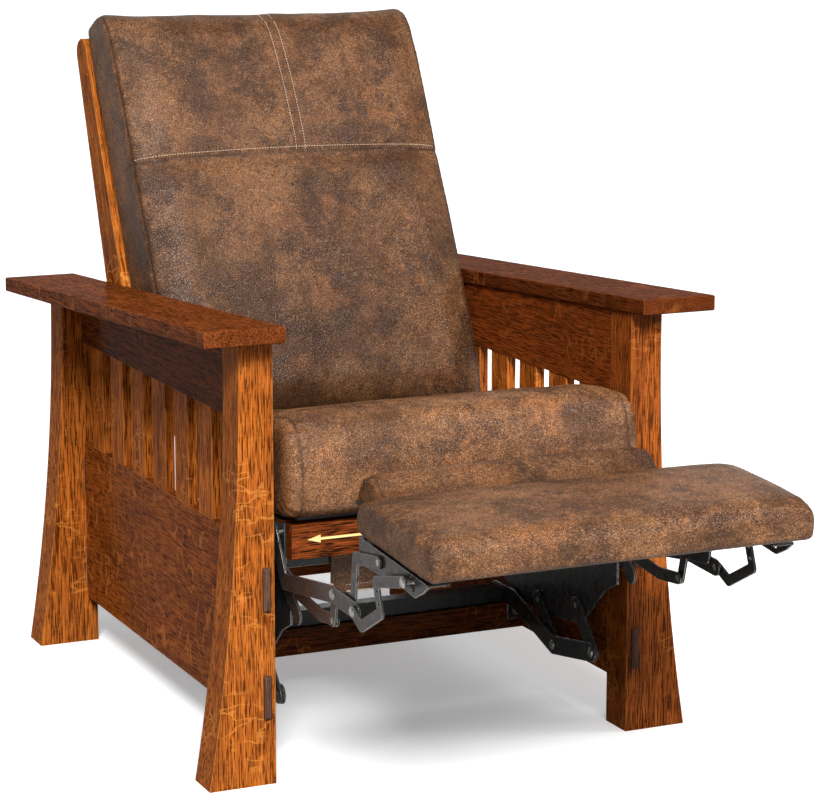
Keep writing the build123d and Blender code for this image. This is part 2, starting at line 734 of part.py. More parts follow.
def footrest_bracket():
    """An angle bracket under one end of the footrest board."""
    rear, front = footrest_bracket_rear, footrest_bracket_front
    top = footrest_board_thickness
    edge = []
    for along, down in bracket_edge_shares:
        y = rear + (front - rear) * along
        edge.append((y, footrest_height(y, top + footrest_bracket_depth * down)))
    upright = side_view((front, footrest_height(front, top + plate)), (front, footrest_height(front, top)),
                        (rear, footrest_height(rear, top)), *edge)
    ledge_rear = footrest_rear - footrest_board_inset / 2
    ledge = side_view((front, footrest_height(front, top + plate)), (front, footrest_height(front, top)),
                      (ledge_rear, footrest_height(ledge_rear, top)),
                      (ledge_rear, footrest_height(ledge_rear, top + plate)))
    bracket = across(upright, inner_layer, plate)
    bracket += across(ledge, inner_layer - footrest_flange, footrest_flange)
    for place, radius in ((bracket_pin, pin_radius + pin_play),
                          ((flap_rod_y, flap_rod_z), flap_rod_radius)):
        bracket -= pin(inner_layer, inner_layer + plate, place, radius)
    slot_end = (control_pin_y + open_pin_run_y, control_pin_z + open_pin_run_z)
    return bracket - link(inner_layer, 2 * (pin_radius + open_pin_play), [control_pin, slot_end], [])


def make_footrest():
    """The footrest pad on its board and brackets, and the rod of the flap."""
    right, left = both(footrest_bracket())
    write("footrest_bracket_right", [right])
    write("footrest_bracket_left", [left])
    front = footrest_front + footrest_board_inset
    rear = footrest_rear - footrest_board_inset / 4
    bottom = footrest_board_thickness
    board = side_view((front, footrest_height(front, bottom)), (front, footrest_height(front)),
                      (rear, footrest_height(rear)), (rear, footrest_height(rear, bottom)))
    half = inner_layer - plate / 2
    write("footrest_board", [across(board, -half, 2 * half)])
    write("flap_hinge_rod", [pin(-inner_layer - plate, inner_layer + plate, (flap_rod_y, flap_rod_z),
                                 flap_rod_radius)])
    length = footrest_rear - footrest_front
    pad = puffed(length, footrest_half_width, footrest_thickness, footrest_thickness - footrest_crown,
                 footrest_crown, footrest_roll, 0)
    slope = atan2(footrest_fall_share, 1)
    nose = footrest_front + (footrest_thickness - footrest_roll) * sin(slope)
    write("footrest_pad", [Pos(0, nose, footrest_height(nose) + seat_gap)
                           * Rot(degrees(slope), 0, 0) * pad])


def make_flap():
    """The middle flap, which turns under the footrest pad as it folds."""
    bottom = flap_rod_z + flap_board_lift
    board = block(-flap_half_width + flap_roll / 2, flap_half_width - flap_roll / 2, flap_front,
                  flap_rear - flap_roll / 2, bottom, bottom + flap_board_thickness)
    write("flap_board", [board])
    straps = []
    for x in (-flap_strap_spread, flap_strap_spread):
        eye = pin(x - flap_strap_width / 2, x + flap_strap_width / 2, (flap_rod_y, flap_rod_z),
                  flap_eye_radius)
        strap = block(x - flap_strap_width / 2, x + flap_strap_width / 2, flap_rod_y,
                      flap_rear - flap_roll, bottom - flap_strap_thickness, bottom)
        bore = pin(x - flap_strap_width, x + flap_strap_width, (flap_rod_y, flap_rod_z),
                   flap_rod_radius + pin_play)
        straps.append(eye + strap - bore)
    write("flap_straps", straps)
    pad = puffed(flap_rear - flap_front, flap_half_width, flap_front_thickness, flap_rear_thickness,
                 flap_crown, flap_roll, 0)
    write("flap_pad", [Pos(0, flap_front, bottom + flap_board_thickness + seat_gap) * pad])


def on_back(piece):
    """A piece drawn with the back upright over the hinge, leaned to its place at rest.

    There, Z runs along the posts from the hinge, and the front of the back faces -Y.
    """
    return Pos(0, hinge_y, hinge_z) * Rot(-back_lean, 0, 0) * piece


def back_screw_places():
    """The screws of a hinge bracket, along the post from the hinge."""
    return [(0, post_bottom + back_bracket_length * share) for share in back_screw_shares]


def back_post():
    """A tapered post with a straight front edge and a rounded head."""
    rear_low = post_width_low - post_front
    outline = side_view(
        (-post_front, post_bottom), (-post_front, post_top), (post_width_top - post_front, post_top),
        (rear_low, post_taper_start), (rear_low, post_bottom),
    )
    post = across(outline, base_layer + plate, post_thickness)
    head = [edge for edge in post.edges().filter_by(Axis.X) if edge.center().Z > post_top - plate]
    post = fillet(head, post_top_radius)
    for place in back_screw_places():
        post -= pin(base_layer + plate, base_layer + plate + bolt_grip, place, bolt_radius)
    return post


def make_back():
    """Posts, slats, hinge brackets, screws and the cushion of the back."""
    inner = base_layer + plate
    right, left = both(on_back(back_post()))
    write("back_post_right", [right])
    write("back_post_left", [left])
    slats = []
    step = (post_top - post_top_radius - back_slat_width - lowest_slat) / (back_slat_count - 1)
    for index in range(back_slat_count):
        low = lowest_slat + index * step
        slats.append(on_back(block(-inner, inner, -post_front, back_slat_thickness - post_front, low,
                                   low + back_slat_width)))
    write("back_slats", slats)
    screws = back_screw_places()
    holes = [((0, 0), pin_radius + pin_play)] + [(place, bolt_radius) for place in screws]
    bracket = link(base_layer, back_bracket_width, [(0, 0), (0, back_bracket_length)], holes)
    write("back_brackets", [on_back(side) for side in both(bracket)])
    fixings = []
    for place in screws:
        shank = pin(base_layer, base_layer + plate + bolt_grip, place, bolt_radius)
        fixings += [on_back(side) for side in both(shank + inner_head(base_layer, place))]
    write("back_bracket_screws", fixings)
    cushion = puffed(back_cushion_top - back_cushion_bottom, back_cushion_half_width,
                     back_cushion_low_thickness, back_cushion_top_thickness, back_cushion_crown,
                     back_cushion_roll, back_side_draw,
                     (back_seam - back_cushion_bottom, back_seam_depth, back_seam_half_width),
                     (back_heel_length, back_heel_share))
    write("back_cushion", [on_back(Pos(0, -post_front - seat_gap, back_cushion_bottom)
                                   * Rot(90, 0, 0) * cushion)])


def write(name, solids):
    """Move the solids to the chair's own origin and write them as one named piece."""
    moved = [Pos(0, -middle_of_chair, 0) * solid for solid in solids]
    shape = moved[0] if len(moved) == 1 else Compound(children=moved)
    export_step(shape, os.path.join("parts", name + ".step"))


os.makedirs("parts", exist_ok=True)
make_frame()
make_base()
make_swing_arms()
make_carriage()
make_footrest_links()
make_footrest()
make_flap()
make_back()
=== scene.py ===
"""Mission reclining armchair: the looks of an oak and leather recliner, built round its CAD frame.

Lengths are metres. +Y runs from the footrest to the back, +Z is up, and +X is on the right of
somebody who looks at the front of the chair.
"""

from math import cos, pi, radians, sin

import bmesh
import bpy
import numpy as np
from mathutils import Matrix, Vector
from mathutils.bvhtree import BVHTree


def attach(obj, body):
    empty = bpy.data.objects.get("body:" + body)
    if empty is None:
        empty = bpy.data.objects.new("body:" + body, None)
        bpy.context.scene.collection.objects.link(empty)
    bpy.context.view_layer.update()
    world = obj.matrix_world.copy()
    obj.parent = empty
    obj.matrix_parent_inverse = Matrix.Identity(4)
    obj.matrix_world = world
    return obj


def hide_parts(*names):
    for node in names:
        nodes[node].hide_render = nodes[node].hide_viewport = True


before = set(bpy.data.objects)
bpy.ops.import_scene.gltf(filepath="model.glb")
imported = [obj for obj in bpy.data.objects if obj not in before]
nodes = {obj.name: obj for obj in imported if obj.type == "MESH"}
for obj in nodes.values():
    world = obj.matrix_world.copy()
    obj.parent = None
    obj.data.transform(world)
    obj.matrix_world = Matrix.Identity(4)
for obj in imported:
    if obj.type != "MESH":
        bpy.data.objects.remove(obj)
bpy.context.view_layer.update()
scene = bpy.context.scene


# The oak frame: quartersawn boards stained red-brown under a satin lacquer, with flared legs and
# keyed tenons. Fine dark pores and fibres run with the grain, ray flecks wander across it as
# lighter ribbons, and every edge is lightened, as rubbed wear and a painted highlight.
def shader_node(tree, kind, inputs=None, **settings):
    """A shader node of this kind. Inputs are values or the sockets of other nodes."""
    made = tree.nodes.new("ShaderNode" + kind)
    for key, value in settings.items():
        setattr(made, key, value)
    for key, value in (inputs or {}).items():
        if isinstance(value, bpy.types.NodeSocket):
            tree.links.new(value, made.inputs[key])
        else:
            made.inputs[key].default_value = value
    return made


def new_material(name, **values):
    """A material with its tree, its main shader with these values, and object coordinates."""
    material = bpy.data.materials.new(name)
    material.use_nodes = True
    tree = material.node_tree
    shader = tree.nodes["Principled BSDF"]
    for key, value in values.items():
        shader.inputs[key.replace("_", " ")].default_value = value
    coords = shader_node(tree, "TexCoord").outputs["Object"]
    return material, tree, shader, coords


def wired(tree, shader, inputs):
    """Link sockets to inputs of the main shader."""
    for key, socket in inputs.items():
        tree.links.new(socket, shader.inputs[key])


def mixed(tree, factor, first, second, mode="MIX"):
    """Two colours mixed by a factor."""
    inputs = {0: factor, 6: first, 7: second}
    return shader_node(tree, "Mix", inputs, data_type="RGBA", blend_type=mode).outputs[2]


def mapped(tree, value, low, high, to_low=0.0, to_high=1.0):
    """A value taken smoothly from one range to another."""
    inputs = {"Value": value, "From Min": low, "From Max": high, "To Min": to_low,
              "To Max": to_high}
    return shader_node(tree, "MapRange", inputs, interpolation_type="SMOOTHSTEP").outputs["Result"]


def maths(tree, kind, first, second):
    """Two values joined by an operation."""
    return shader_node(tree, "Math", {0: first, 1: second}, operation=kind).outputs[0]


def toned(colour, share):
    """A colour times a share."""
    return tuple(part * share for part in colour[:3]) + (1.0,)


def noise(tree, coords, scale, detail=2.0, roughness=0.5, distortion=0.0):
    """Soft noise with this many lumps to the metre."""
    inputs = {"Vector": coords, "Scale": scale, "Detail": detail, "Roughness": roughness,
              "Distortion": distortion}
    return shader_node(tree, "TexNoise", inputs).outputs["Fac"]


def placed(tree, coords, shift=(0, 0, 0), turn=(0, 0, 0), stretch=(1, 1, 1)):
    """Coordinates turned, stretched and shifted."""
    inputs = {"Vector": coords, "Location": shift, "Rotation": turn, "Scale": stretch}
    return shader_node(tree, "Mapping", inputs).outputs["Vector"]


def streaks(tree, coords, lumps, detail=2.0, roughness=0.5, distortion=0.0):
    """Noise drawn out along an axis: it has its own number of lumps to the metre on each axis."""
    return noise(tree, placed(tree, coords, stretch=lumps), 1.0, detail, roughness, distortion)


def bumped(tree, shader, height, distance, strength=1.0, under=None):
    """The shader's normal, roughened by a height that is in units of distance."""
    inputs = {"Height": height, "Distance": distance, "Strength": strength}
    if under is not None:
        inputs["Normal"] = under
    made = shader_node(tree, "Bump", inputs)
    tree.links.new(made.outputs["Normal"], shader.inputs["Normal"])


def edge_wear_and_highlight(tree, low):
    """A softened normal, and 1 on an edge or 0 on a flat face: how far it turns from the face's."""
    soft = shader_node(tree, "Bevel", {"Radius": 0.0016}, samples=4).outputs["Normal"]
    flat = shader_node(tree, "NewGeometry").outputs["Normal"]
    turned = shader_node(tree, "VectorMath", {0: soft, 1: flat}, operation="DOT_PRODUCT")
    return soft, mapped(tree, turned.outputs["Value"], 0.995, low)


def ribbons(tree, grain, gap, length, width, wander):
    """Wandering lines across the grain, a gap apart: where a stretched noise is near its middle."""
    field = streaks(tree, grain, (0.55 / gap, 1 / length, 1 / length), 3.0, 0.45, wander)
    off = maths(tree, "ABSOLUTE", maths(tree, "SUBTRACT", field, 0.5), 0.0)
    return mapped(tree, off, width * 0.3, width, 1.0, 0.0)


def oak(name, turn, shift, tones, gap=0.016, length=0.06, share=0.5, pores=0.75, strong=0.5):
    """Oak whose grain follows one axis, in three tones: of its fibres, its ground and its flecks.

    The flecks lie a gap apart, each is about a length long, and they cover a share of the wood.
    Pores says how dark the pores are, and strong how light the flecks.
    """
    dark, light, fleck = tones
    material, tree, shader, coords = new_material(name, Coat_Weight=0.07, Coat_Roughness=0.22,
                                                  Specular_IOR_Level=0.0)
    grain = placed(tree, coords, shift, turn)
    fibres = streaks(tree, grain, (9, 640, 640), 4.0, 0.65)
    bands = streaks(tree, grain, (1.6, 64, 64), 3.0, 0.6, 0.6)
    blotches = streaks(tree, grain, (9, 20, 20), 4.0, 0.62)
    body = mixed(tree, mapped(tree, fibres, 0.36, 0.64), dark, light)
    body = mixed(tree, mapped(tree, bands, 0.42, 0.66, 0.0, 0.55), body, dark)
    body = mixed(tree, mapped(tree, blotches, 0.46, 0.64, 0.0, 0.5), body, light)
    wide = ribbons(tree, grain, gap, length, 0.034, 0.25)
    aside = placed(tree, grain, (2.3, 0.4, 1.1))
    fine = ribbons(tree, aside, gap * 0.4, length * 0.55, 0.045, 0.15)
    patches = noise(tree, placed(tree, grain, (3.1, 1.7, 0.4)), 13.0, 3.0)
    bare = 0.58 - 0.22 * share
    wide = maths(tree, "MULTIPLY", wide, mapped(tree, patches, bare, bare + 0.10))
    fine = maths(tree, "MULTIPLY", fine, mapped(tree, patches, 0.56, 0.44, 0.0, share))
    flecks = maths(tree, "MAXIMUM", wide, fine)
    body = mixed(tree, maths(tree, "MULTIPLY", flecks, strong), body, fleck)
    dashes = streaks(tree, grain, (34, 640, 640), 2.0, 0.55)
    holes = mapped(tree, dashes, 0.48, 0.60, 0.0, pores)
    holes = maths(tree, "MULTIPLY", holes, mapped(tree, flecks, 0.0, 1.0, 1.0, 0.3))
    body = mixed(tree, holes, body, toned(dark, 0.25))
    # Every edge is lightened: a painted highlight along the arrises, with rubbed wear.
    soft_edges, edge = edge_wear_and_highlight(tree, 0.93)
    body = mixed(tree, maths(tree, "MULTIPLY", edge, 0.55), body, toned(fleck, 1.25))
    wired(tree, shader, {"Base Color": body, "Coat Normal": soft_edges,
                         "Roughness": mapped(tree, flecks, 0.0, 1.0, 0.46, 0.34)})
    bumped(tree, shader, maths(tree, "SUBTRACT", fibres, holes), 0.00028, 0.7, soft_edges)
    return material


def clothe(names, material):
    """Give CAD nodes a material."""
    for name in names:
        for place in nodes[name].material_slots:
            place.material = material


lean = radians(24)
along_x = (0, 0, 0)
along_y = (0, 0, radians(-90))
along_z = (0, radians(90), 0)
along_post = (lean, radians(90), 0)

orange = ((0.215, 0.050, 0.008, 1), (0.54, 0.148, 0.020, 1), (0.74, 0.30, 0.060, 1))
red = ((0.130, 0.028, 0.005, 1), (0.35, 0.085, 0.013, 1), (0.58, 0.20, 0.038, 1))
brown = ((0.075, 0.017, 0.004, 1), (0.215, 0.050, 0.010, 1), (0.38, 0.125, 0.028, 1))
# The right side's copies of the oak are toned for how light falls there: the darker right legs and
# arm are painted shade, and the lighter right rail is painted light.
leg_tones = {"left": orange,
             "right": ((0.150, 0.034, 0.007, 1), (0.40, 0.100, 0.015, 1), (0.60, 0.21, 0.040, 1))}
rail_tones = {"left": brown, "right": (red[0], (0.32, 0.070, 0.012, 1), brown[2])}
arm_tones = {"left": (brown[0], (0.245, 0.060, 0.013, 1), brown[2]),
             "right": (brown[0], (0.165, 0.038, 0.008, 1), (0.30, 0.095, 0.021, 1))}
# The slats are lighter than the panels: painted light against the shadow of the arm.
slat_tones = ((0.20, 0.046, 0.008, 1), (0.64, 0.170, 0.023, 1), orange[2])
post_tones = (red[0], orange[1], orange[2])
front_rail_tones = (brown[0], (0.27, 0.058, 0.010, 1), red[0])
walnut_tones = ((0.050, 0.024, 0.016, 1), (0.135, 0.066, 0.043, 1), (0.18, 0.09, 0.06, 1))
for side, shift in (("left", 0.31), ("right", 2.17)):
    legs = oak("oak_legs_" + side, along_z, (shift, shift, 0), leg_tones[side],
               gap=0.010, length=0.045, share=0.25, pores=0.9, strong=0.3)
    panel = oak("oak_panel_" + side, along_y, (shift, 0, shift), red,
                gap=0.015, length=0.050, share=0.5, pores=0.85, strong=0.4)
    rail = oak("oak_rail_" + side, along_y, (0, shift, shift), rail_tones[side],
               gap=0.014, length=0.05, share=0.15, pores=0.8, strong=0.3)
    arm = oak("oak_arm_" + side, along_y, (shift, shift, shift), arm_tones[side],
              gap=0.014, length=0.05, share=0.3, pores=0.8, strong=0.4)
    slats = oak("oak_slats_" + side, along_z, (0, shift, 0), slat_tones,
                gap=0.012, length=0.04, share=0.2, pores=0.9, strong=0.35)
    post = oak("oak_post_" + side, along_post, (shift, 0, 0), post_tones,
               gap=0.015, length=0.05, share=0.3, pores=0.7)
    clothe(["front_leg_" + side, "rear_leg_" + side], legs)
    clothe(["side_panel_" + side], panel)
    clothe(["top_rail_" + side], rail)
    clothe(["arm_" + side], arm)
    clothe(["side_slats_" + side], slats)
    clothe(["back_post_" + side], post)
cross_oak = oak("oak_cross", along_x, (0.7, 0.2, 0.1), brown,
                gap=0.014, length=0.05, share=0.2, pores=0.9)
clothe(["middle_cross_rail", "rear_cross_rail", "back_slats", "seat_rear_rail"], cross_oak)
front_oak = oak("oak_front_rail", along_x, (0.2, 0.6, 0.4), front_rail_tones,
                gap=0.02, length=0.04, share=0.1, pores=1.0)
clothe(["seat_front_rail"], front_oak)
clothe(["seat_side_rails"], oak("oak_seat_box", along_y, (0.5, 0.9, 0.1), brown))
walnut = oak("walnut_keys", along_z, (0.2, 0.1, 0), walnut_tones,
             gap=0.03, length=0.05, share=0.0, pores=0.5)
clothe(["tenon_keys"], walnut)


# The linkage and the base: flat bars, plates and tubes of steel, painted black, dusty, and rubbed
# bright along their edges. Their pins and bolts are zinc-plated. The arrow on the front rail is
# brushed brass, and the boards of the footrest and its flap are near-black plywood: painted shade.
paint = (0.016, 0.016, 0.015, 1)
bright_steel = (0.40, 0.39, 0.36, 1)
black_steel, tree, shader, coords = new_material("black_steel", Specular_IOR_Level=0.22)
soft_edges, edge = edge_wear_and_highlight(tree, 0.90)
rub = noise(tree, coords, 90.0, 4.0, 0.7)
scuffs = mapped(tree, rub, 0.60, 0.74, 0.0, 0.18)
rubbed_edge = maths(tree, "MULTIPLY", edge, mapped(tree, rub, 0.32, 0.52))
worn = maths(tree, "MAXIMUM", rubbed_edge, scuffs)
dust = mapped(tree, noise(tree, coords, 30.0, 4.0, 0.6), 0.45, 0.75, 0.0, 0.5)
dusty = mixed(tree, dust, paint, toned(paint, 2.6))
wired(tree, shader, {"Base Color": mixed(tree, worn, dusty, bright_steel), "Metallic": worn,
                     "Roughness": mapped(tree, rub, 0.3, 0.7, 0.22, 0.42)})
bumped(tree, shader, noise(tree, coords, 1400.0), 0.00008, 0.6, soft_edges)
clothe(["base_plates", "base_cross_tube", "mounting_ears", "front_swing_arms", "rear_swing_arms",
        "carriage_plate_left", "carriage_plate_right", "carriage_cross_tubes", "rear_links",
        "lower_links", "front_links", "control_links", "footrest_bracket_left",
        "footrest_bracket_right", "back_brackets", "flap_straps", "flap_hinge_rod"], black_steel)

zinc, tree, shader, coords = new_material("zinc_steel", Metallic=1.0)
tone = mapped(tree, noise(tree, coords, 260.0, 3.0, 0.6), 0.3, 0.7)
wired(tree, shader, {"Base Color": mixed(tree, tone, (0.16, 0.155, 0.14, 1), bright_steel),
                     "Roughness": mapped(tree, tone, 0.0, 1.0, 0.42, 0.28)})
bumped(tree, shader, noise(tree, coords, 900.0), 0.0001, 0.5)
clothe(["mounting_bolts", "swing_arm_studs", "carriage_pins", "rear_link_pins", "front_link_pins",
        "control_link_pins", "back_bracket_screws"], zinc)

dull_brass, bright_brass = (0.80, 0.56, 0.18, 1), (1.0, 0.84, 0.42, 1)
brass, tree, shader, coords = new_material("brass", Metallic=1.0)
brushed = streaks(tree, coords, (40, 2500, 2500), 3.0)
scratched = mapped(tree, brushed, 0.3, 0.7)
wired(tree, shader, {"Base Color": mixed(tree, scratched, dull_brass, bright_brass),
                     "Roughness": mapped(tree, brushed, 0.3, 0.7, 0.34, 0.22)})
bumped(tree, shader, brushed, 0.00005, 0.5)
clothe(["direction_arrow"], brass)

# The plywood is near black as painted shade, so that the board's edge under the pads reads as
# shadow.
dark_ply, pale_ply = (0.018, 0.013, 0.010, 1), (0.050, 0.036, 0.026, 1)
plywood, tree, shader, coords = new_material("plywood_painted_shade", Roughness=0.6)
plies = streaks(tree, coords, (6, 60, 240), 4.0, 0.6, 0.8)
wired(tree, shader, {"Base Color": mixed(tree, mapped(tree, plies, 0.35, 0.7), dark_ply, pale_ply)})
bumped(tree, shader, plies, 0.0003, 0.5)
clothe(["flap_board"], plywood)


# The covers: distressed brown leather with tan, rust and plum patches, a pebbled grain that
# catches the light, and lighter rubbed speckles, sewn with pale thread. The skirt has the cover
# of the footrest.
def grey(value):
    """A grey as a colour."""
    return (value, value, value, 1.0)


def dappled(tree, factor, body, low, high):
    """A colour times a tone that goes from low to high with a factor."""
    dim = mixed(tree, 1.0, body, grey(low), "MULTIPLY")
    bright = mixed(tree, 1.0, body, grey(high), "MULTIPLY")
    return mixed(tree, factor, dim, bright)


def leather(name, lift, dim=1.0):
    """Mottled brown cover with a fine pebbled grain, darker where a piece's seam attribute is high.

    Lift is the tone of the whole cover: above 1 on the seat and the footrest, and below 1 on the
    flap, where it is painted shade. Dim is the share of that tone which is left low down, a
    painted shade towards the foot of the cover.
    """
    material, tree, shader, coords = new_material(name, Coat_Weight=0.36, Specular_IOR_Level=0.0)
    warp = shader_node(tree, "TexNoise", {"Vector": coords, "Scale": 11.0, "Detail": 4.0})
    drift = shader_node(tree, "VectorMath", {0: warp.outputs["Color"], "Scale": 0.06},
                        operation="SCALE").outputs[0]
    bent = shader_node(tree, "VectorMath", {0: coords, 1: drift}, operation="ADD").outputs[0]
    clouds = noise(tree, bent, 8.0, 9.0, 0.74)
    smears = noise(tree, placed(tree, bent, (4.0, 1.0, 2.0)), 13.0, 9.0, 0.76)
    rust = noise(tree, placed(tree, bent, (9.0, 3.0, 5.0)), 10.0, 8.0, 0.74)
    plum_brown, tan = (0.098, 0.041, 0.017, 1), (0.255, 0.112, 0.046, 1)
    body = mixed(tree, mapped(tree, clouds, 0.36, 0.64), plum_brown, tan)
    body = mixed(tree, mapped(tree, smears, 0.48, 0.60, 0.0, 0.8), body, (0.062, 0.028, 0.017, 1))
    body = mixed(tree, mapped(tree, rust, 0.53, 0.64, 0.0, 0.7), body, (0.290, 0.112, 0.040, 1))

    cells = {"Vector": coords, "Scale": 470.0, "Randomness": 1.0}
    pebbles = shader_node(tree, "TexVoronoi", cells, feature="DISTANCE_TO_EDGE").outputs["Distance"]
    chance = shader_node(tree, "TexVoronoi", cells, feature="F1").outputs["Color"]
    chance = shader_node(tree, "SeparateColor", {"Color": chance}).outputs["Red"]
    grain = noise(tree, coords, 520.0, 3.0, 0.65)
    flecks = mapped(tree, noise(tree, coords, 95.0, 6.0, 0.72), 0.40, 0.62)
    body = dappled(tree, flecks, body, 0.82, 1.12)
    body = dappled(tree, chance, body, 0.70, 1.30)
    veins = maths(tree, "MULTIPLY", mapped(tree, pebbles, 0.03, 0.22, 1.0, 0.0), 0.75)
    pits = maths(tree, "MAXIMUM", mapped(tree, grain, 0.34, 0.48, 0.8, 0.0), veins)
    body = mixed(tree, pits, body, (0.020, 0.009, 0.004, 1))
    rubbed = maths(tree, "MULTIPLY", mapped(tree, grain, 0.55, 0.66),
                   mapped(tree, clouds, 0.38, 0.6, 0.15, 0.6))
    body = mixed(tree, rubbed, body, (0.40, 0.215, 0.11, 1))

    # Painted shade low down: the tone falls from lift to lift times dim towards the foot of the
    # cover.
    height = shader_node(tree, "SeparateXYZ", {"Vector": coords}).outputs["Z"]
    tone = mapped(tree, height, 0.42, 0.86, lift * dim, lift)
    body = shader_node(tree, "VectorMath", {0: body, "Scale": tone}, operation="SCALE").outputs[0]
    # Painted shade in the seam grooves: the cover darkens where the seam attribute is high.
    sewn = shader_node(tree, "Attribute", attribute_name="seam").outputs["Fac"]
    body = mixed(tree, sewn, body, (0.014, 0.007, 0.005, 1))
    relief = maths(tree, "ADD", grain, mapped(tree, pebbles, 0.0, 0.3))
    bumped(tree, shader, relief, 0.0006, 0.5)
    wired(tree, shader, {"Base Color": body,
                         "Coat Roughness": mapped(tree, smears, 0.3, 0.7, 0.27, 0.18),
                         "Coat Normal": shader.inputs["Normal"].links[0].from_socket})
    return material


# The covers differ only in tone: the flap's, below 1, is painted shade.
seat_cover = leather("leather_seat", 1.42)
back_cover = leather("leather_back", 1.05, 0.72)
footrest_cover = leather("leather_footrest", 1.18)
flap_cover = leather("leather_flap", 0.9)

dark_thread, pale_thread = (0.46, 0.34, 0.23, 1), (0.74, 0.60, 0.44, 1)
thread, tree, shader, coords = new_material("thread", Roughness=0.55)
twist = noise(tree, coords, 2600.0)
wired(tree, shader, {"Base Color": mixed(tree, mapped(tree, twist, 0.3, 0.7), dark_thread,
                                         pale_thread)})
bumped(tree, shader, twist, 0.0002, 0.6)


# Seat cushion: a fat front roll, a firm top that falls to the back, and end caps sewn to the
# main panel with puckers where the roll turns fastest. Like every cushion, it is a closed side
# profile carried across the chair, blown up as cloth between its seams, and sewn.
def closed_curve(points, count):
    """A smooth closed curve through the points, at even steps of its length.

    Between two points it is the cubic whose slope at each point is half the step between that
    point's neighbours.
    """
    points = np.array(points, float)
    steps = np.linspace(0, 1, 24, endpoint=False)[:, None]
    p0, p1, p2, p3 = (np.roll(points, -shift, axis=0)[:, None] for shift in (-1, 0, 1, 2))
    fine = 0.5 * (2 * p1 + (p2 - p0) * steps + (2 * p0 - 5 * p1 + 4 * p2 - p3) * steps ** 2
                  + (3 * p1 - p0 - 3 * p2 + p3) * steps ** 3)
    fine = np.concatenate([fine.reshape(-1, 2), fine[0, :1]])
    length = np.concatenate([[0], np.cumsum(np.linalg.norm(np.diff(fine, axis=0), axis=1))])
    at = np.linspace(0, length[-1], count, endpoint=False)
    return np.stack([np.interp(at, length, fine[:, axis]) for axis in (0, 1)], axis=1)


def ring_faces(rings, count):
    """Faces between closed rings: a point, the next on its ring, and both on the ring after."""
    at = np.arange((rings - 1) * count)
    after = np.where((at + 1) % count, at + 1, at + 1 - count)
    return np.stack([at, after, after + count, at + count], axis=1)


def outward(piece):
    """Turn every face of a mesh outwards."""
    work = bmesh.new()
    work.from_mesh(piece.data)
    bmesh.ops.recalc_face_normals(work, faces=work.faces)
    work.to_mesh(piece.data)
    work.free()


def new_piece(name, vertices, faces):
    """A piece of the scene with a mesh of these points and faces."""
    mesh = bpy.data.meshes.new(name)
    mesh.from_pydata(np.asarray(vertices, float).tolist(), [], faces)
    piece = bpy.data.objects.new(name, mesh)
    scene.collection.objects.link(piece)
    return piece


def stuffed(name, profile, half_width, end_radius, crown, pull, pillow, count=150):
    """A closed cushion: rings of the profile (along, up) from one end to the other.

    Towards an end the ring draws in by the radius less the height of a quarter circle. Crown
    lifts the upper side in the middle by the cosine of the place across, pull draws the sides in
    by the sine of the place along, and pillow is a drop of the upper side beside each end and
    its reach. The drop grows as the power 2.2 of the nearness to the end.
    """
    curve = closed_curve(profile, count)
    ahead = np.roll(curve, -1, axis=0) - np.roll(curve, 1, axis=0)
    inward = np.stack([-ahead[:, 1], ahead[:, 0]], axis=1)
    inward /= np.linalg.norm(inward, axis=1)[:, None]
    if ((curve.mean(axis=0) - curve) * inward).sum() < 0:
        inward = -inward
    straight = half_width - end_radius
    quarter = np.linspace(0, pi / 2, 7)
    plain = np.linspace(0, straight, 36)[:-1]
    across = np.concatenate([plain, straight + end_radius * np.sin(quarter)])
    insets = np.concatenate([0 * plain, end_radius * (1 - np.cos(quarter))])
    across = np.concatenate([-across[:0:-1], across])
    insets = np.concatenate([insets[:0:-1], insets])
    low, high = curve.min(axis=0), curve.max(axis=0)
    along, up = ((curve - low) / (high - low)).T
    drop, reach = pillow
    rings = []
    for x, inset in zip(across, insets):
        ring = curve + inward * inset
        share = abs(x) / half_width
        near = np.clip(1 - (straight - abs(x)) / reach, 0, 1)
        lift = (crown * cos(0.5 * pi * share) * np.sin(pi * along) - drop * near ** 2.2) * up ** 2
        width = x - np.sign(x) * pull * np.sin(pi * along) * share ** 4
        rings.append(np.stack([width, ring[:, 0], ring[:, 1] + lift], axis=1))
    vertices = np.concatenate(rings + [rings[0].mean(axis=0)[None], rings[-1].mean(axis=0)[None]])
    here = np.arange(count)
    after = np.roll(here, -1)
    last = (len(rings) - 1) * count
    first_end = np.stack([after, here, np.full(count, len(vertices) - 2)], axis=1)
    last_end = np.stack([last + here, last + after, np.full(count, len(vertices) - 1)], axis=1)
    faces = ring_faces(len(rings), count).tolist() + first_end.tolist() + last_end.tolist()
    piece = new_piece(name, vertices, faces)
    outward(piece)
    return piece


def points_of(mesh):
    """The places of a mesh's points."""
    places = np.empty(len(mesh.vertices) * 3)
    mesh.vertices.foreach_get("co", places)
    return places.reshape(-1, 3)


def normals_of(mesh):
    """The normals at a mesh's points."""
    found = np.empty(len(mesh.vertices) * 3, np.float32)
    mesh.vertex_normals.foreach_get("vector", found)
    return found.reshape(-1, 3).astype(float)


def move_to(mesh, places):
    """Put a mesh's points in new places."""
    mesh.vertices.foreach_set("co", np.asarray(places, np.float32).ravel())
    mesh.update()


def evaluated(piece):
    """A mesh of the piece as its modifiers leave it."""
    return bpy.data.meshes.new_from_object(
        piece.evaluated_get(bpy.context.evaluated_depsgraph_get()))


def applied(piece, kind, **settings):
    """Apply one modifier to a piece."""
    change = piece.modifiers.new(kind, kind)
    for key, value in settings.items():
        setattr(change, key, value)
    bpy.context.view_layer.update()
    made = evaluated(piece)
    piece.modifiers.clear()
    piece.data = made


